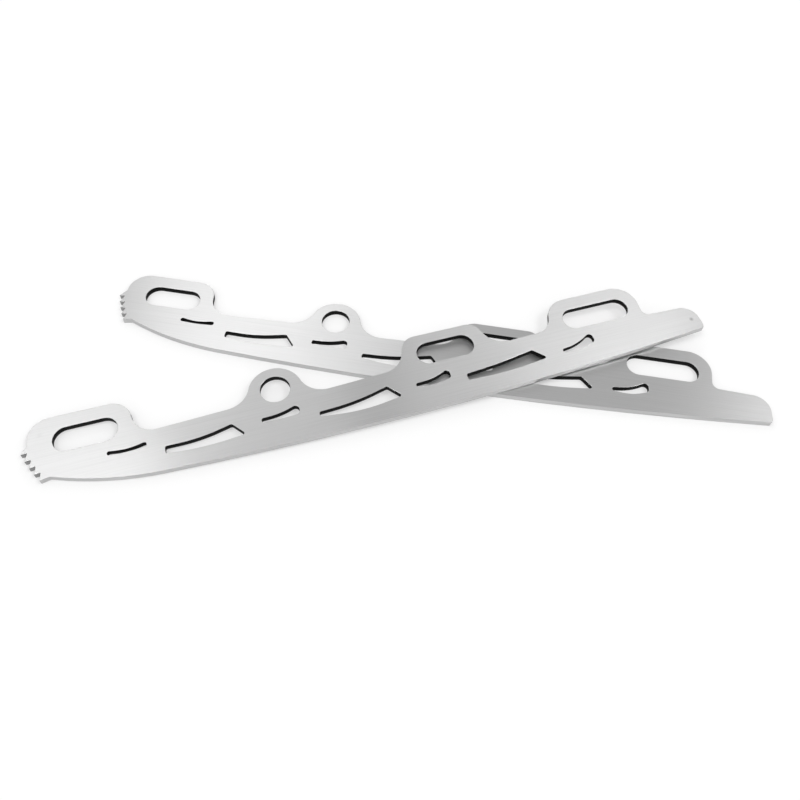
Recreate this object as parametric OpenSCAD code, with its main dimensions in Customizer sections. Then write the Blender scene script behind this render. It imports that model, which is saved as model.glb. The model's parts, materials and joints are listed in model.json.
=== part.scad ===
// A pair of ice skate blades, each cut from one steel plate, lying crossed on a flat surface.
// Each blade is drawn in its own plane: x runs to the heel, y up to the boot, zero at the round hole.

/* [Plate] */
// Thickness of each blade
blade_t = 3; // [2.4:0.1:4]

/* [Mounting holes] */
// Diameter of the round hole in the second ear
hole_d = 13.8; // [10:0.1:15]
// Width of the three bolt slots
slot_w = 12; // [8:0.1:13]
// Distance from the round hole forward to the middle of the toe slot
toe_slot_x = 83.5; // [80:0.5:88]
// Distance from the round hole back to the middle of the middle slot
mid_slot_x = 83.5; // [80:0.5:88]
// Distance from the round hole back to the middle of the heel slot
heel_slot_x = 165; // [160:0.5:170]
// Length of the toe slot
toe_slot_len = 27.3; // [20:0.1:30]
// Length of the middle slot
mid_slot_len = 29; // [20:0.1:32]
// Length of the heel slot
heel_slot_len = 36; // [24:0.1:40]

/* [Ears] */
// Metal between a slot's end and the ear's flank, on the line of the holes
ear_wall = 8; // [5:0.1:9]
// Metal between the toe slot and the back of the toe ear, on the same line
toe_back_wall = 6.6; // [5:0.1:8]
// Metal between the heel slot and the back of the heel ear
heel_ear_wall = 6.5; // [5:0.1:9]
// Metal between the toe slot and the front of the toe
toe_wall = 10.4; // [7:0.1:14]
// Top of the toe ear above the line of the holes
toe_ear_top = 12.7; // [11:0.1:16]
// Top of the round-hole ear above the line of the holes
hole_ear_top = 11.6; // [10.5:0.1:15]
// Top of the middle ear above the line of the holes
mid_ear_top = 11.4; // [10.5:0.1:15]
// Top of the heel ear above the line of the holes
heel_ear_top = 13; // [11:0.1:16]
// Radius of the top of the round-hole ear
hole_ear_r = 12.5; // [11:0.1:14]
// Lean of the flanks from upright
flank_lean = 19; // [10:1:24]
// Lean of the back of the toe ear from upright
toe_back_lean = 8; // [4:1:14]
// Lean of the back of the heel ear from upright
heel_back_lean = 4; // [0:1:8]
// Corner radius of the front of the toe
toe_r = 9.7; // [4:0.1:12]
// Corner radius of the back of the toe ear
toe_back_r = 9.5; // [4:0.1:10]
// Corner radius of the middle ear
mid_ear_r = 7.6; // [3:0.1:9]
// Corner radius of the heel ear
heel_ear_r = 11.5; // [4:0.1:12.5]
// Fillet radius at the foot of the toe ear and of the heel ear's front
outer_root_r = 10; // [4:0.1:10]
// Fillet radius at the feet of the other ears
inner_root_r = 12; // [5:0.1:13]

/* [Body] */
// Top edge of the body below the line of the holes, in the three gaps between ears
valley_y = [5.4, 5.6, 3.6]; // [3:0.1:8]
// Rise of that edge towards the heel, in degrees
valley_rise = 1.5; // [0:0.5:3]
// Length from the round hole back to the end of the tail
tail_x = 216.6; // [208:0.1:224]
// Top of the tail below the line of the holes, at the heel ear
tail_y = 7.7; // [7:0.1:11]
// Fall of the tail's top edge towards the end, in degrees
tail_fall = 2.5; // [0:0.5:5]
// Radius of the tail's upper corner
tail_r = 8.2; // [3:0.1:9]
// Radius of the tail's lower corner
tail_low_r = 4; // [1:0.1:5]
// Fillet between the heel ear and the tail
tail_root_r = 3.5; // [1:0.1:5]

/* [Running edge] */
// Depth of the lowest point of the running edge below the line of the holes
run_y = 29.8; // [27:0.1:34]
// Place of that lowest point behind the round hole
run_x = 53; // [40:1:66]
// Radius of the rocker, the long curve of the running edge
rocker_r = 2000; // [1600:10:2600]
// Distance from the round hole forward to where the front curve begins
front_x = 53; // [51:0.5:55]
// Radius of the front curve, below the toe
front_r = 137; // [110:1:170]
// Radius of the hollow ground along the running edge
hollow_r = 12; // [8:0.5:25]

/* [Toe pick] */
// Number of teeth, the lowest being the drag pick
teeth = 5; // [4:1:5]
// Distance from one tooth tip to the next
tooth_pitch = 4.05; // [3.6:0.05:4.4]
// Depth of the gullets between the teeth
tooth_depth = 2.7; // [1.4:0.1:3]
// Rise of the teeth's undersides into the gullets, in degrees
tooth_rake = 6; // [0:1:10]
// Radius of the arc on which the tips lie
pick_r = 70; // [40:1:120]
// Direction in which the first tooth points, below straight ahead
pick_dip = 20; // [14:0.5:24]
// Reach of the first tooth beyond the front of the toe
pick_reach = 2.4; // [1:0.1:3]
// First tooth tip below the line of the holes
pick_y = 2.9; // [2:0.1:4]
// Distance from the drag pick's tip back to the notch where the running edge begins
notch_len = 4.5; // [3:0.1:6]
// Radius of the gullets' floors
gullet_r = 0.4; // [0.2:0.1:0.6]

/* [Lightening cut-outs] */
// Front end of each wing-shaped cut-out, from the round hole
wing_x = [-51.4, 16.8, 88.7]; // [-60:0.1:95]
// Length of each wing-shaped cut-out
wing_len = [34.8, 39.2, 41.8]; // [30:0.1:45]
// Upper corner of the wings' front ends below the line of the holes
wing_top_y = [15.6, 17.4, 16.5]; // [15:0.1:18]
// Lower corner of the wings' front ends below the line of the holes
wing_low_y = [19.2, 19.8, 20]; // [18.5:0.1:21]
// Peak of each wing below the line of the holes
wing_peak_y = [12.6, 12.7, 12.2]; // [11:0.1:14]
// Tip of each wing below the line of the holes
wing_tip_y = [19.2, 19.5, 18.3]; // [17:0.1:21]
// Length of the slanting back end of each wing, along the blade
wing_slant = [5.4, 5.8, 6.1]; // [4:0.1:7]
// Sag of the wings' upper edges
wing_sag = [1.3, 1.2, 0.5]; // [0.3:0.1:1.6]
// Belly of the wings' lower edges
wing_belly = [1.1, 1.9, 1.2]; // [0.4:0.1:2.4]
// Front end of each comma-shaped cut-out, from the round hole
comma_x = [-75.3, -8.9, 63.7, 139.5]; // [-80:0.1:145]
// Length of each comma-shaped cut-out
comma_len = [16.5, 17.4, 17.5, 17.9]; // [14:0.1:19]
// Upper corner of the commas' front ends below the line of the holes
comma_top_y = [11.2, 13.6, 15, 15.8]; // [10:0.1:17]
// Lower corner of the commas' front ends below the line of the holes
comma_low_y = [13.3, 15.8, 17, 17.6]; // [12:0.1:19]
// Upper corner of the commas' back ends below the line of the holes
comma_back_top_y = [10.9, 10.4, 10.8, 9.6]; // [9:0.1:12]
// Lower corner of the commas' back ends below the line of the holes
comma_back_low_y = [13.2, 15.7, 16.2, 15.7]; // [12:0.1:18]
// Sag of the commas' upper edges
comma_sag = [1.1, 1, 1.3, 1.4]; // [0.5:0.1:1.6]
// Belly of the commas' lower edges
comma_belly = [0.4, 0.2, 1, 1.5]; // [0.1:0.1:1.8]
// Corner radius of the commas' back ends
comma_back_r = [0.9, 1.9, 1.9, 1.9]; // [0.5:0.1:2]

/* [Resting pose] */
// Turn of the upper blade against the lower one, seen from above
cross_turn = 25.6; // [20:0.2:32]
// Round hole of the upper blade ahead of the lower blade's
cross_x = 18.6; // [10:0.1:26]
// Round hole of the upper blade to the running side of the lower blade's
cross_y = 46.2; // [43:0.1:50]
// Clearance between the upper blade and the edge that it rests on
rest_gap = 0.1; // [0.05:0.05:0.3]

/* [Hidden] */

// Largest distance of a straight facet from its arc
arc_error = 0.01;
// Corner radii of the cut-outs
cut_front_r = 0.9;
wing_peak_r = 1.2;
wing_tip_r = 0.8;
// Share of a bowed edge that is arc, the rest running straight into its corners
bow_share = 0.6;
// Plate left below the running edge for the grinding to take away
grind_stock = 3;
// Distance by which a cut starts before and ends behind the metal
over = 1;
// Depth below the running edge of the corner that is rounded at the tail
tail_low_over = 0.3;
// Depth inside the plate of the hidden corners of the toe pick
pick_bite = 0.3;
// Fineness of the holes, and of the hollow across and along the running edge
$fn = 96;
hollow_fn = 180;
front_fn = 512;
rocker_fn = 2048;

steel = [0.74, 0.75, 0.76];

function unit(v) = v / norm(v);
function polar(r, a) = r * [cos(a), sin(a)];
function flat(c) = [c[0], c[1]];
// Positive where the path a, b, c turns left
function turn(a, b, c) = cross(b - a, c - b);
function facet_angle(r) = 2 * acos(1 - arc_error / max(r, 2 * arc_error));

// Points of the arc of radius r that rounds the corner b between a and c
function corner_arc(a, b, c, r) =
    let (
        u = unit(a - b),
        w = unit(c - b),
        half = acos(u * w) / 2,
        centre = b + unit(u + w) * r / sin(half),
        start = b + u * r / tan(half) - centre,
        first = atan2(start[1], start[0]),
        sweep = sign(turn(a, b, c)) * (180 - 2 * half),
        steps = max(1, ceil(abs(sweep) / facet_angle(r)))
    )
    [for (k = [0 : steps]) centre + polar(r, first + sweep * k / steps)];

// Outline through corners given as [x, y, radius], a radius of zero being a sharp corner
function rounded(corners) =
    let (n = len(corners))
    [for (i = [0 : n - 1])
        let (
            a = flat(corners[(i + n - 1) % n]),
            b = flat(corners[i]),
            c = flat(corners[(i + 1) % n]),
            r = corners[i][2]
        )
        each r > 0 ? corner_arc(a, b, c, r) : [b]];

// Running edge: the rocker's circle and, tangent to it, the circle of the front curve
rocker_centre = [run_x, rocker_r - run_y];
front_angle = 270 - asin((run_x + front_x) / rocker_r);
front_start = rocker_centre + polar(rocker_r, front_angle);
front_centre = rocker_centre + polar(rocker_r - front_r, front_angle);
// Running edge's height at x, on the rocker and on the front curve
function rocker_at(x) = rocker_centre[1] - sqrt(pow(rocker_r, 2) - pow(x - run_x, 2));
function front_at(x) = front_centre[1] - sqrt(pow(front_r, 2) - pow(x - front_centre[0], 2));

// Toe pick: tips on an arc, each gullet a little above the tip that it starts from
toe_x = -toe_slot_x - toe_slot_len / 2 - toe_wall;
pick_first = [toe_x - pick_reach, -pick_y];
pick_angle = 180 + pick_dip;
pick_centre = pick_first - polar(pick_r, pick_angle);
tooth_angle = tooth_pitch / pick_r * 180 / PI;
function tip(i) = pick_centre + polar(pick_r, pick_angle + i * tooth_angle);
function gullet(i) = tip(i) + polar(tooth_depth, tooth_rake);
drag_tip = tip(teeth - 1);
notch_x = drag_tip[0] + notch_len;
pick_teeth = [
    for (i = [0 : teeth - 2]) each [[each tip(i), 0], [each gullet(i), gullet_r]],
    [each drag_tip, 0]
];
// Point on the front of the toe where the first tooth begins to stand out
pick_root = [toe_x, pick_first[1] + 1.6 * pick_reach];

// Flanks of the ears, by where they cross the line of the holes
mid_front_x = mid_slot_x - mid_slot_len / 2 - ear_wall;
mid_back_x = mid_slot_x + mid_slot_len / 2 + ear_wall;
toe_back_x = -toe_slot_x + toe_slot_len / 2 + toe_back_wall;
heel_front_x = heel_slot_x - heel_slot_len / 2 - ear_wall;
heel_back_x = heel_slot_x + heel_slot_len / 2 + heel_ear_wall;
// Point at height y on the flank that crosses that line at x
function flank(x, y, angle) = [x + tan(angle) * y, y];

// Ends of the three valleys: heights at the two ears that bound each of them
function valley_drop(from_x, to_x) = tan(valley_rise) * (to_x - from_x) / 2;
drop_1 = valley_drop(toe_back_x, -hole_ear_r);
drop_2 = valley_drop(hole_ear_r, mid_front_x);
drop_3 = valley_drop(mid_back_x, heel_front_x);

// Round-hole ear: its top arc, and the fillets that run from it into the valleys
hole_ear_centre = [0, hole_ear_top - hole_ear_r];
function ear_fillet_centre(side, valley) =
    let (rise = valley + inner_root_r - hole_ear_centre[1])
    hole_ear_centre + [side * sqrt(pow(hole_ear_r + inner_root_r, 2) - pow(rise, 2)), rise];
function arc_run(centre, r, from, to) =
    let (steps = ceil(abs(to - from) / facet_angle(r)))
    [for (k = [1 : steps - 1]) [each centre + polar(r, from + (to - from) * k / steps), 0]];
front_fillet = ear_fillet_centre(-1, -valley_y[0] + drop_1);
back_fillet = ear_fillet_centre(1, -valley_y[1] - drop_2);
function facing(from, to) = atan2(to[1] - from[1], to[0] - from[0]);
front_meet = facing(hole_ear_centre, front_fillet);
back_meet = facing(hole_ear_centre, back_fillet);
hole_ear = [
    [back_fillet[0], back_fillet[1] - inner_root_r, 0],
    each arc_run(back_fillet, inner_root_r, 270, 180 + back_meet),
    [each hole_ear_centre + polar(hole_ear_r, back_meet), 0],
    each arc_run(hole_ear_centre, hole_ear_r, back_meet, front_meet),
    [each hole_ear_centre + polar(hole_ear_r, front_meet), 0],
    each arc_run(front_fillet, inner_root_r, front_meet - 180, -90),
    [front_fillet[0], front_fillet[1] - inner_root_r, 0]
];

// The plate is drawn in two halves that meet where rocker and front curve touch
toe_foot = flank(toe_back_x, -valley_y[0] - drop_1, -toe_back_lean);
ear_foot = front_fillet - [0, inner_root_r];
split_way = polar(1, front_angle - 180);
split_rise = cross(ear_foot - front_start, toe_foot - ear_foot) / cross(split_way, toe_foot - ear_foot);
split_top = front_start + split_way * split_rise;
split_low = front_start - split_way * grind_stock;
stock_y = -run_y - grind_stock;

// Rear half, forward along the top and back below the running edge
tail_drop = tan(tail_fall) * (tail_x - heel_back_x);
rear_outline = [
    [tail_x, -tail_y - tail_drop, tail_r],
    [each flank(heel_back_x, -tail_y, heel_back_lean), tail_root_r],
    [each flank(heel_back_x, heel_ear_top, heel_back_lean), heel_ear_r],
    [each flank(heel_front_x, heel_ear_top, flank_lean), heel_ear_r],
    [each flank(heel_front_x, -valley_y[2] + drop_3, flank_lean), outer_root_r],
    [each flank(mid_back_x, -valley_y[2] - drop_3, -flank_lean), inner_root_r],
    [each flank(mid_back_x, mid_ear_top, -flank_lean), mid_ear_r],
    [each flank(mid_front_x, mid_ear_top, flank_lean), mid_ear_r],
    [each flank(mid_front_x, -valley_y[1] + drop_2, flank_lean), inner_root_r],
    each hole_ear,
    [each split_top, 0],
    [each split_low, 0],
    [run_x, stock_y, 0],
    [tail_x - 10 * grind_stock, stock_y, 0],
    [tail_x, rocker_at(tail_x) - tail_low_over, tail_low_r]
];

// Front half, without the teeth: behind them it ends on a line down through the front curve
pick_back = [(notch_x + drag_tip[0]) / 2, front_at((notch_x + drag_tip[0]) / 2)];
pick_line = [toe_x, (pick_root[1] + pick_first[1]) / 2];
stock_share = (stock_y - pick_line[1]) / (pick_back[1] - pick_line[1]);
front_outline = [
    [each split_top, 0],
    [each toe_foot, outer_root_r],
    [each flank(toe_back_x, toe_ear_top, -toe_back_lean), toe_back_r],
    [toe_x, toe_ear_top, toe_r],
    [each pick_line, 0],
    [each pick_line + (pick_back - pick_line) * stock_share, 0],
    [each split_low, 0]
];

// Toe pick, with two corners hidden in the front half
pick_outline = [
    [each 2 * pick_root - pick_first, 0],
    each pick_teeth,
    [notch_x, front_at(notch_x) + pick_bite, 0],
    [notch_x + 2 * tooth_depth, front_at(notch_x) + 2 * tooth_depth, 0]
];

// Corner that bows the edge from a to b out to its right by s at mid-length
function bow(a, b, s) =
    let (d = b - a, c = s / (1 - bow_share / 2))
    [each (a + b) / 2 + [d[1], -d[0]] * c / norm(d), bow_share * d * d / (4 * abs(c))];

function wing_outline(i) =
    let (
        low = [wing_x[i], -wing_low_y[i]],
        tip = [wing_x[i] + wing_len[i], -wing_tip_y[i]],
        peak = [tip[0] - wing_slant[i], -wing_peak_y[i]],
        top = [wing_x[i], -wing_top_y[i]]
    )
    [
        [each low, cut_front_r],
        bow(low, tip, wing_belly[i]),
        [each tip, wing_tip_r],
        [each peak, wing_peak_r],
        bow(peak, top, -wing_sag[i]),
        [each top, cut_front_r]
    ];

function comma_outline(i) =
    let (
        low = [comma_x[i], -comma_low_y[i]],
        back_low = [comma_x[i] + comma_len[i], -comma_back_low_y[i]],
        back_top = [comma_x[i] + comma_len[i], -comma_back_top_y[i]],
        top = [comma_x[i], -comma_top_y[i]]
    )
    [
        [each low, cut_front_r],
        bow(low, back_low, comma_belly[i]),
        [each back_low, comma_back_r[i]],
        [each back_top, comma_back_r[i]],
        bow(back_top, top, -comma_sag[i]),
        [each top, cut_front_r]
    ];

module slot(x, length) {
    translate([x, 0]) {
        square([length - slot_w, slot_w], center = true);
        for (side = [-1, 1]) translate([side * (length - slot_w) / 2, 0]) circle(d = slot_w);
    }
}

module openings() {
    circle(d = hole_d);
    slot(-toe_slot_x, toe_slot_len);
    slot(mid_slot_x, mid_slot_len);
    slot(heel_slot_x, heel_slot_len);
    for (i = [0 : len(wing_x) - 1]) polygon(rounded(wing_outline(i)));
    for (i = [0 : len(comma_x) - 1]) polygon(rounded(comma_outline(i)));
}

// Ring that grinds the hollow along a running edge of radius r
module hollow(centre, r, from, to, along_fn) {
    depth = hollow_r - sqrt(pow(hollow_r, 2) - pow(blade_t / 2, 2));
    translate(centre) rotate(from)
        rotate_extrude(angle = to - from, $fn = along_fn)
            translate([r, 0])
                translate([hollow_r - depth, blade_t / 2]) circle(hollow_r, $fn = hollow_fn);
}

rocker_end = 270 + asin((tail_x + 10 * over - run_x) / rocker_r);
front_end = 270 - asin((front_centre[0] - pick_first[0] + 4 * over) / front_r);

module blade() {
    difference() {
        union() {
            difference() {
                linear_extrude(blade_t) polygon(rounded(rear_outline));
                hollow(rocker_centre, rocker_r, front_angle - over, rocker_end, rocker_fn);
            }
            difference() {
                linear_extrude(blade_t) polygon(rounded(front_outline));
                hollow(front_centre, front_r, front_end, front_angle + over, front_fn);
            }
            linear_extrude(blade_t) polygon(rounded(pick_outline));
        }
        translate([0, 0, -over]) linear_extrude(blade_t + 2 * over) openings();
    }
}

// The upper blade leans from the lower blade's running edge down to its own drag pick on the table
tip_run = drag_tip[0] * sin(cross_turn) + drag_tip[1] * cos(cross_turn);
rest_run = cross_y - run_y - tip_run;
rest_tilt = atan((blade_t + rest_gap) / rest_run);
rest_lift = -tip_run * sin(rest_tilt);

module lower_blade() {
    color(steel) blade();
}

module upper_blade() {
    color(steel)
        translate([-cross_x, -cross_y, rest_lift])
            rotate([rest_tilt, 0, 0])
                rotate(cross_turn)
                    blade();
}

lower_blade();
upper_blade();
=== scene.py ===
import json
import math
from typing import NamedTuple

import bmesh
import bpy
from bpy.props import FloatProperty, FloatVectorProperty, PointerProperty
from mathutils import Euler, Matrix, Vector


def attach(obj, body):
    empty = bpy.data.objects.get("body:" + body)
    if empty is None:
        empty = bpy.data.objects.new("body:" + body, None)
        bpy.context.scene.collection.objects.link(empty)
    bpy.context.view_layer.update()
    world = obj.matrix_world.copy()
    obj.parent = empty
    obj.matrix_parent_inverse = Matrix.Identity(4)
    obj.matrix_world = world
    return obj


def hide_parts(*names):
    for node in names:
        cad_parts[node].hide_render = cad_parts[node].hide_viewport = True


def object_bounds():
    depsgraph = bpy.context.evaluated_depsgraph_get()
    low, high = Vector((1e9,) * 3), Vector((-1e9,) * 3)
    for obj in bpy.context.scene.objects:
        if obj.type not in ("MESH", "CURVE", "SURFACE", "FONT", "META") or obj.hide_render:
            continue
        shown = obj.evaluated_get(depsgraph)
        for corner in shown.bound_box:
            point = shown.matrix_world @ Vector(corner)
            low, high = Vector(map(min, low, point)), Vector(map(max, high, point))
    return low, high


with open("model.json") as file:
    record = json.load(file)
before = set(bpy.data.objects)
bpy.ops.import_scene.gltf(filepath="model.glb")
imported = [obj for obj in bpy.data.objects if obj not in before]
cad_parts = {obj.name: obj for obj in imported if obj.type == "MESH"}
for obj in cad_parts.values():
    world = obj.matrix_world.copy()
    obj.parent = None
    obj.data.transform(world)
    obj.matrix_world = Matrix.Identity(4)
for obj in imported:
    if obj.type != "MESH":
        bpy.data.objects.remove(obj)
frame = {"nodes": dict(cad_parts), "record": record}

bl_info = {
    "name": "Ice skate blade pair",
    "version": (1, 0, 0),
    "blender": (4, 5, 0),
    "location": "View3D > Sidebar > Skate blades",
    "description": "Dresses a pair of flat steel skate blades and sets them on a white floor",
    "category": "Object",
}

CAD_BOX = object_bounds()
MM = 0.001

# Points closer than this are one point of the plate
WELD = 0.005 * MM
# Two faces whose planes differ by less than this are one flat
FLAT_ANGLE = math.radians(0.1)
# Walls that turn by less than this between two facets are one curved wall
CURVE_ANGLE = math.radians(28)
# UV map of the blades: u runs across a blade and v along it, both in metres
LAY_MAP = "lay"

# Places of the materials in a blade's list
FACE, WALL, RUN, PICK = range(4)
# A face of the plate is a side face where its normal leaves the plate by more than this
SIDE_FACING = 0.7

# Where the running edge and the toe pick lie, in a blade's own axes. The running edge has a front
# curve and a body, which overlap a little. A wall belongs to one of them if it lies below its top
# and faces down by more than its facing.
FRONT_END = -53 * MM
FRONT_TOP = -15 * MM
FRONT_FACING = 0.7
BODY_START = -54 * MM
BODY_TOP = -22.5 * MM
BODY_FACING = 0.9
PICK_END = -97.5 * MM
PICK_TOP = 1 * MM
PICK_BOTTOM = -19 * MM


class Dent(NamedTuple):
    """Mark of a hardness test, from the round hole of a blade, with the strength of the painted
    shade that stands for its pit.
    """
    x: float
    y: float
    painted_shade: float


UPPER_DENTS = (
    Dent(-102.1 * MM, 4.7 * MM, 0.12),
    Dent(212.1 * MM, -16.8 * MM, 1.0),
)
# A dent's painted shade is deepest within its core and fades out at its rim
DENT_CORE = 0.1 * MM
DENT_RIM = 1.4 * MM

# The floor reaches this far from the middle on each side, in metres
FLOOR_REACH = 4
# The floor lies this far below the blades
FLOOR_GAP = 0.05 * MM
# Share of the floor's white that no shadow takes away
FLOOR_GLOW = 0.4


class Lamp(NamedTuple):
    """A rectangular light: its place, the point that it faces and its size, in metres."""
    name: str
    place: tuple
    aim: tuple
    width: float
    depth: float


BLADES_MIDDLE = (0.05, -0.03, 0)
# Lamps by the property of the stage that holds their power
LAMPS = {
    "left_light": Lamp("left_softbox", (-0.82, -0.59, 2.93), (0.16, 0.29, 0), 1.17, 1.23),
    "right_light": Lamp("right_softbox", (1.82, -0.19, 2.83), (0.7, -1.19, 0), 1.37, 0.83),
    "back_light": Lamp("back_softbox", (-1.02, 2.02, 2.22), BLADES_MIDDLE, 0.65, 0.77),
    "strip_light": Lamp("strip_light", (-0.31, 2.28, 1.0), BLADES_MIDDLE, 0.53, 0.15),
}

# Camera of the photo, as the outlines of both blades give it: place in metres, turn in degrees,
# shift in widths of the picture and width of the sensor in millimetres
CAMERA_PLACE = (0.06087, -0.2412, 0.31266)
CAMERA_TURN = (39.696, -3.947, 7.246)
CAMERA_SHIFT = (-0.0468, -0.1131)
CAMERA_SENSOR = 36
# Nearest distance that the camera sees, in metres
CAMERA_NEAR = 0.01


def linear(hex_colour):
    """Linear RGB of an sRGB colour such as #C8C9CB."""
    channels = [int(hex_colour[i:i + 2], 16) / 255 for i in (1, 3, 5)]
    return [c / 12.92 if c <= 0.04045 else ((c + 0.055) / 1.055) ** 2.4 for c in channels]


def with_alpha(colour):
    """An opaque RGBA colour from an RGB one."""
    return (*colour, 1.0)


def scaled(colour, factor):
    """A colour made darker or lighter by a factor."""
    return [factor * c for c in colour]


class BladeLook(bpy.types.PropertyGroup):
    """Finish of the two blades."""

    edge_break: FloatProperty(
        name="Edge break",
        description="Width of the small bevel that deburring leaves along every cut edge",
        default=0.12 * MM, min=0.02 * MM, max=0.3 * MM, precision=5,
        subtype="DISTANCE", unit="LENGTH",
    )
    face_colour: FloatVectorProperty(
        name="Ground face",
        description="Colour of the ground side faces",
        default=linear("#D1D1D1"), min=0, max=1, size=3, subtype="COLOR",
    )
    streak_colour: FloatVectorProperty(
        name="Grinding streaks",
        description="Darker colour in the streaks that the grinding left along the blade",
        default=linear("#CACACA"), min=0, max=1, size=3, subtype="COLOR",
    )
    wall_colour: FloatVectorProperty(
        name="Cut wall",
        description="Colour of the dark oxide on the cut walls of plate, slots and cut-outs",
        default=linear("#101010"), min=0, max=1, size=3, subtype="COLOR",
    )
    run_colour: FloatVectorProperty(
        name="Running surface",
        description="Colour of the hollow-ground running surface",
        default=linear("#D0D0D0"), min=0, max=1, size=3, subtype="COLOR",
    )
    # Also the colour of the painted shade in the hardness-test dents
    pick_and_dent_shade_colour: FloatVectorProperty(
        name="Toe pick",
        description="Colour of the milled flanks of the toe pick's teeth, and of dents",
        default=linear("#9C9C9C"), min=0, max=1, size=3, subtype="COLOR",
    )


class StageLook(bpy.types.PropertyGroup):
    """Floor, light and camera."""

    floor_colour: FloatVectorProperty(
        name="Floor",
        description="Colour of the floor",
        default=linear("#FDFDFD"), min=0, max=1, size=3, subtype="COLOR",
    )
    room_light: FloatProperty(
        name="Room light",
        description="Strength of the even light from all round",
        default=0.655, min=0, max=2, subtype="FACTOR",
    )
    left_light: FloatProperty(
        name="Left softbox",
        description="Power of the softbox above the toes",
        default=21.5, min=0, max=100, subtype="POWER", unit="POWER",
    )
    right_light: FloatProperty(
        name="Right softbox",
        description="Power of the softbox beyond the heels",
        default=23.4, min=0, max=100, subtype="POWER", unit="POWER",
    )
    back_light: FloatProperty(
        name="Back softbox",
        description="Power of the softbox behind the blades",
        default=2.65, min=0, max=100, subtype="POWER", unit="POWER",
    )
    strip_light: FloatProperty(
        name="Strip light",
        description="Power of the narrow strip light low behind the blades",
        default=4.15, min=0, max=100, subtype="POWER", unit="POWER",
    )
    lens: FloatProperty(
        name="Lens",
        description="Focal length of the camera in millimetres",
        default=35.215, min=10, max=200, subtype="DISTANCE_CAMERA", unit="CAMERA",
    )


def add_node(tree, kind, settings=None, **links):
    """Adds a node. Each setting goes to the socket of that name, or else to the attribute.
    Each link goes to the socket of that name, with a space for each underscore."""
    node = tree.nodes.new(kind)
    for name, value in (settings or {}).items():
        if name in node.inputs:
            node.inputs[name].default_value = value
        else:
            setattr(node, name, value)
    for name, source in links.items():
        tree.links.new(source, node.inputs[name.replace("_", " ")])
    return node


def new_material(name):
    """An empty node material and its tree."""
    material = bpy.data.materials.new(name)
    material.use_nodes = True
    material.node_tree.nodes.clear()
    return material, material.node_tree


def grain(tree, place, size, detail=2.0, roughness=0.5):
    """Noise over a place, with grains as long along each axis as the size says, in metres."""
    stretch = add_node(tree, "ShaderNodeMapping", {"Scale": [1 / length for length in size]},
                       Vector=place)
    noise = add_node(tree, "ShaderNodeTexNoise",
                     {"Scale": 1.0, "Detail": detail, "Roughness": roughness},
                     Vector=stretch.outputs["Vector"])
    return noise.outputs["Fac"]


def two_tone(tree, noise, dark, light, low=0.3, high=0.7):
    """Colour that goes from dark to light as a noise goes from low to high."""
    ramp = add_node(tree, "ShaderNodeValToRGB", Fac=noise)
    first, last = ramp.color_ramp.elements
    first.position, first.color = low, with_alpha(dark)
    last.position, last.color = high, with_alpha(light)
    return ramp.outputs["Color"]


def raised(tree, noise, strength, depth):
    """Normals of a surface on which a noise stands out by a depth in metres."""
    bump = add_node(tree, "ShaderNodeBump", {"Strength": strength, "Distance": depth}, Height=noise)
    return bump.outputs["Normal"]


def finish(tree, settings, **links):
    """Ends a material in one surface."""
    surface = add_node(tree, "ShaderNodeBsdfPrincipled", settings, **links)
    add_node(tree, "ShaderNodeOutputMaterial", Surface=surface.outputs["BSDF"])


def dented(tree, place, colour, dent, dent_colour):
    """A blade's colour with a darker spot of painted shade where a dent's pit is; the surface
    itself stays flat.
    """
    apart = add_node(tree, "ShaderNodeVectorMath", {"operation": "DISTANCE"})
    tree.links.new(place, apart.inputs[0])
    apart.inputs[1].default_value = (dent.y, dent.x, 0)
    inside = add_node(tree, "ShaderNodeMapRange",
                      {"From Min": DENT_CORE, "From Max": DENT_RIM,
                       "To Min": dent.painted_shade, "To Max": 0.0},
                      Value=apart.outputs["Value"])
    mix = add_node(tree, "ShaderNodeMix", {"data_type": "RGBA"}, Factor=inside.outputs["Result"])
    plain, shaded = [socket for socket in mix.inputs if socket.type == "RGBA"]
    tree.links.new(colour, plain)
    shaded.default_value = with_alpha(dent_colour)
    return next(socket for socket in mix.outputs if socket.type == "RGBA")


def ground_steel(look, name, dents=()):
    """Hardened stainless plate, surface-ground along the blade: fine parallel lines from toe to
    heel pull every highlight into a band across the blade and leave soft lengthwise streaks.
    A hardness test left a small dent at each of the places given, drawn as a darker spot of painted
    shade."""
    material, tree = new_material(name)
    place = add_node(tree, "ShaderNodeUVMap", {"uv_map": LAY_MAP}).outputs["UV"]
    # Lines of 0.5 mm, coarser than real grinding lines so that they show, each some 60 mm long
    streak = grain(tree, place, (0.5 * MM, 60 * MM, 1), detail=3.0, roughness=0.6)
    colour = two_tone(tree, streak, look.streak_colour, look.face_colour, low=0.25, high=0.6)
    # Each dent is a darker spot of painted shade, standing in for the shade in its pit
    for dent in dents:
        colour = dented(tree, place, colour, dent, look.pick_and_dent_shade_colour)
    # Handling and wiping leave faint clouds some 25 mm long, a little glossier or duller
    cloud = grain(tree, place, (12 * MM, 25 * MM, 1))
    gloss = add_node(tree, "ShaderNodeMapRange", {"To Min": 0.28, "To Max": 0.32}, Value=cloud)
    across = add_node(tree, "ShaderNodeTangent", {"direction_type": "UV_MAP", "uv_map": LAY_MAP})
    finish(tree, {"Metallic": 1.0, "Anisotropic": 1.0},
           Base_Color=colour, Roughness=gloss.outputs["Result"],
           Normal=raised(tree, streak, strength=0.02, depth=0.02 * MM),
           Tangent=across.outputs["Tangent"])
    return material


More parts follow.
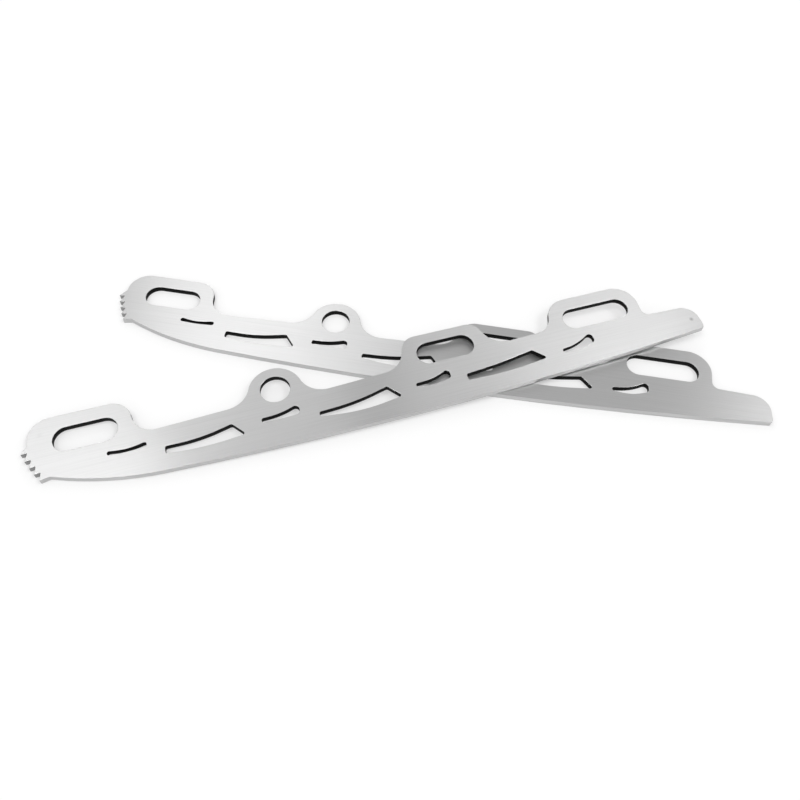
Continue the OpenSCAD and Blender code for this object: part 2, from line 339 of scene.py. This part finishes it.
def cut_steel(look):
    """Wall left by the cutting beam: dark oxide with fine ridges through the plate's thickness."""
    material, tree = new_material("oxidised_cut_steel")
    place = add_node(tree, "ShaderNodeTexCoord").outputs["Object"]
    # Ridges 0.35 mm apart, nearly upright in the plate
    ridge = grain(tree, place, (0.35 * MM, 0.35 * MM, 4 * MM))
    colour = two_tone(tree, ridge, scaled(look.wall_colour, 0.6), scaled(look.wall_colour, 1.2))
    finish(tree, {"Metallic": 0.0, "Roughness": 0.6, "Specular IOR Level": 0.08},
           Base_Color=colour, Normal=raised(tree, ridge, strength=0.3, depth=0.03 * MM))
    return material


def hollow_ground_steel(look):
    """Running surface, ground hollow by a narrow wheel: brighter than the cut walls, with fine
    lines along it."""
    material, tree = new_material("hollow_ground_steel")
    place = add_node(tree, "ShaderNodeTexCoord").outputs["Object"]
    # Lines 0.3 mm apart through the thickness, drawn out along the blade
    line = grain(tree, place, (30 * MM, 30 * MM, 0.3 * MM))
    colour = two_tone(tree, line, scaled(look.run_colour, 0.75), look.run_colour)
    finish(tree, {"Metallic": 1.0, "Roughness": 0.42},
           Base_Color=colour, Normal=raised(tree, line, strength=0.1, depth=0.02 * MM))
    return material


def milled_steel(look):
    """Flanks of the toe pick's teeth, milled after the plate was cut: plain mid-grey metal."""
    material, tree = new_material("milled_pick_steel")
    finish(tree, {"Metallic": 1.0, "Roughness": 0.5, "Base Color": with_alpha(look.pick_and_dent_shade_colour)})
    return material


def blade_place(side):
    """A blade's own axes in the frame: origin at its round hole, x to the heel, y to the boot and
    z out of its face."""
    mounts = {mount["name"]: mount for mount in frame["record"]["mounts"]}
    hole = mounts[side + "_axle_hole"]
    toe = Vector(mounts[side + "_toe_slot"]["pos_m"])
    heel = Vector(mounts[side + "_heel_slot"]["pos_m"])
    up = Vector(hole["axis"]).normalized()
    across = up.cross(heel - toe).normalized()
    along = across.cross(up)
    axes = Matrix((along, across, up)).transposed().to_4x4()
    return Matrix.Translation(Vector(hole["pos_m"])) @ axes


def is_running(point, normal):
    """Whether a wall of the blade, seen in its own axes, is the ground running edge."""
    in_front = point.x < FRONT_END and point.y < FRONT_TOP and normal.y < -FRONT_FACING
    in_body = point.x > BODY_START and point.y < BODY_TOP and normal.y < -BODY_FACING
    return in_front or in_body


def is_pick(point):
    """Whether a wall of the blade, seen in its own axes, belongs to the toe pick."""
    return point.x < PICK_END and PICK_BOTTOM < point.y < PICK_TOP


def surface_kind(point, normal):
    """Which material a face of the plate has, from its middle and normal in the blade's axes."""
    if abs(normal.z) > SIDE_FACING:
        return FACE
    if is_running(point, normal):
        return RUN
    return PICK if is_pick(point) else WALL


def is_rim(edge):
    """Whether an edge of the plate lies between a side face and a wall that was cut or milled.
    The edges of the running surface stay sharp."""
    kinds = {face.material_index for face in edge.link_faces}
    return FACE in kinds and len(kinds) == 2 and RUN not in kinds


def blade_piece(side, look, materials):
    """The blade's plate with broken edges, its faces, cut walls and running surface told apart."""
    node = frame["nodes"][side + "_blade"]
    to_blade = blade_place(side).inverted()
    turn = to_blade.to_3x3()
    plate = bmesh.new()
    plate.from_mesh(node.data)
    bmesh.ops.remove_doubles(plate, verts=plate.verts, dist=WELD)
    bmesh.ops.dissolve_limit(plate, angle_limit=FLAT_ANGLE, verts=plate.verts, edges=plate.edges)
    for face in plate.faces:
        face.material_index = surface_kind(to_blade @ face.calc_center_median(), turn @ face.normal)
    rim = [edge for edge in plate.edges if is_rim(edge)]
    bmesh.ops.bevel(plate, geom=rim, offset=look.edge_break, offset_type="OFFSET", affect="EDGES",
                    segments=2, profile=0.5, clamp_overlap=True, material=-1)
    lay = plate.loops.layers.uv.new(LAY_MAP)
    for face in plate.faces:
        face.smooth = face.material_index != FACE
        for loop in face.loops:
            spot = to_blade @ loop.vert.co
            loop[lay].uv = (spot.y, spot.x)
    for edge in plate.edges:
        kinds = {face.material_index for face in edge.link_faces}
        in_one_wall = len(kinds) == 1 and FACE not in kinds
        edge.smooth = in_one_wall and edge.calc_face_angle(0) < CURVE_ANGLE
    mesh = bpy.data.meshes.new(side + "_runner")
    plate.to_mesh(mesh)
    plate.free()
    for material in materials:
        mesh.materials.append(material)
    piece = bpy.data.objects.new(side + "_runner", mesh)
    bpy.context.scene.collection.objects.link(piece)
    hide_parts(side + "_blade")
    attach(piece, side)
    return piece


class SKATE_OT_blades(bpy.types.Operator):
    """Dress the two blades in ground, cut and hollow-ground steel"""

    bl_idname = "skate.blades"
    bl_label = "Blades"

    def execute(self, context):
        look = context.scene.skate_blades
        walls = [cut_steel(look), hollow_ground_steel(look), milled_steel(look)]
        lower_face = ground_steel(look, "ground_blade_steel")
        blade_piece("lower", look, [lower_face, *walls])
        upper_face = ground_steel(look, "tested_blade_steel", UPPER_DENTS)
        blade_piece("upper", look, [upper_face, *walls])
        return {"FINISHED"}


def floor_white(look):
    """Matt white board: white to the eye and in the steel, with the blades' soft shadow."""
    material, tree = new_material("matt_white_board")
    board = add_node(tree, "ShaderNodeBsdfDiffuse", {"Color": with_alpha(look.floor_colour)})
    white = add_node(tree, "ShaderNodeEmission", {"Color": (1, 1, 1, 1), "Strength": 1.0})
    rays = add_node(tree, "ShaderNodeLightPath")
    seen = rays.outputs["Is Camera Ray"]
    for kind in ("Is Glossy Ray", "Is Transmission Ray"):
        either = add_node(tree, "ShaderNodeMath", {"operation": "MAXIMUM"})
        tree.links.new(seen, either.inputs[0])
        tree.links.new(rays.outputs[kind], either.inputs[1])
        seen = either.outputs[0]
    glow = add_node(tree, "ShaderNodeMath", {"operation": "MULTIPLY"})
    tree.links.new(seen, glow.inputs[0])
    glow.inputs[1].default_value = FLOOR_GLOW
    mixed = add_node(tree, "ShaderNodeMixShader", Fac=glow.outputs[0])
    tree.links.new(board.outputs["BSDF"], mixed.inputs[1])
    tree.links.new(white.outputs["Emission"], mixed.inputs[2])
    add_node(tree, "ShaderNodeOutputMaterial", Surface=mixed.outputs["Shader"])
    return material


def lay_floor(scene, look):
    """Square floor just below the blades."""
    board = bmesh.new()
    bmesh.ops.create_grid(board, x_segments=1, y_segments=1, size=FLOOR_REACH)
    bmesh.ops.translate(board, verts=board.verts, vec=(0, 0, CAD_BOX[0][2] - FLOOR_GAP))
    mesh = bpy.data.meshes.new("floor")
    board.to_mesh(mesh)
    board.free()
    mesh.materials.append(floor_white(look))
    floor = bpy.data.objects.new("floor", mesh)
    scene.collection.objects.link(floor)


def light_room(scene, look):
    """Even white light from all round."""
    world = bpy.data.worlds.new("studio")
    world.use_nodes = True
    room = world.node_tree.nodes["Background"]
    room.inputs["Color"].default_value = (1, 1, 1, 1)
    room.inputs["Strength"].default_value = look.room_light
    scene.world = world


def hang_lamp(scene, lamp, power):
    """Rectangular area light at its place, turned towards its aim."""
    light = bpy.data.lights.new(lamp.name, "AREA")
    light.shape = "RECTANGLE"
    light.size = lamp.width
    light.size_y = lamp.depth
    light.energy = power
    hung = bpy.data.objects.new(lamp.name, light)
    hung.location = lamp.place
    beam = Vector(lamp.place) - Vector(lamp.aim)
    hung.rotation_euler = beam.to_track_quat("Z", "Y").to_euler()
    scene.collection.objects.link(hung)


def set_camera(scene, look):
    """Camera at the photo's place, with the photo's view."""
    lens = bpy.data.cameras.new("camera")
    lens.sensor_width = CAMERA_SENSOR
    lens.lens = look.lens
    lens.shift_x, lens.shift_y = CAMERA_SHIFT
    lens.clip_start = CAMERA_NEAR
    camera = bpy.data.objects.new("camera", lens)
    camera.location = CAMERA_PLACE
    camera.rotation_euler = Euler([math.radians(angle) for angle in CAMERA_TURN])
    scene.collection.objects.link(camera)
    scene.camera = camera


class SKATE_OT_stage(bpy.types.Operator):
    """Lay a white floor, hang the lamps above it and set the camera"""

    bl_idname = "skate.stage"
    bl_label = "Stage"

    def execute(self, context):
        scene = context.scene
        look = scene.skate_stage
        scene.view_settings.view_transform = "Standard"
        lay_floor(scene, look)
        light_room(scene, look)
        for power, lamp in LAMPS.items():
            hang_lamp(scene, lamp, getattr(look, power))
        set_camera(scene, look)
        return {"FINISHED"}


class SKATE_PT_panel(bpy.types.Panel):
    """Blades and stage in the 3D view's sidebar"""

    bl_idname = "SKATE_PT_panel"
    bl_label = "Skate blades"
    bl_space_type = "VIEW_3D"
    bl_region_type = "UI"
    bl_category = "Skate blades"

    def draw(self, context):
        for group, operator in (("skate_blades", "skate.blades"), ("skate_stage", "skate.stage")):
            look = getattr(context.scene, group)
            box = self.layout.box()
            for name in look.__annotations__:
                box.prop(look, name)
            box.operator(operator)


CLASSES = (BladeLook, StageLook, SKATE_OT_blades, SKATE_OT_stage, SKATE_PT_panel)


def register():
    for cls in CLASSES:
        bpy.utils.register_class(cls)
    bpy.types.Scene.skate_blades = PointerProperty(type=BladeLook)
    bpy.types.Scene.skate_stage = PointerProperty(type=StageLook)


def unregister():
    del bpy.types.Scene.skate_stage
    del bpy.types.Scene.skate_blades
    for cls in reversed(CLASSES):
        bpy.utils.unregister_class(cls)


def main():
    register()
    bpy.ops.skate.blades()
    bpy.ops.skate.stage()


if __name__ == "__main__":
    main()
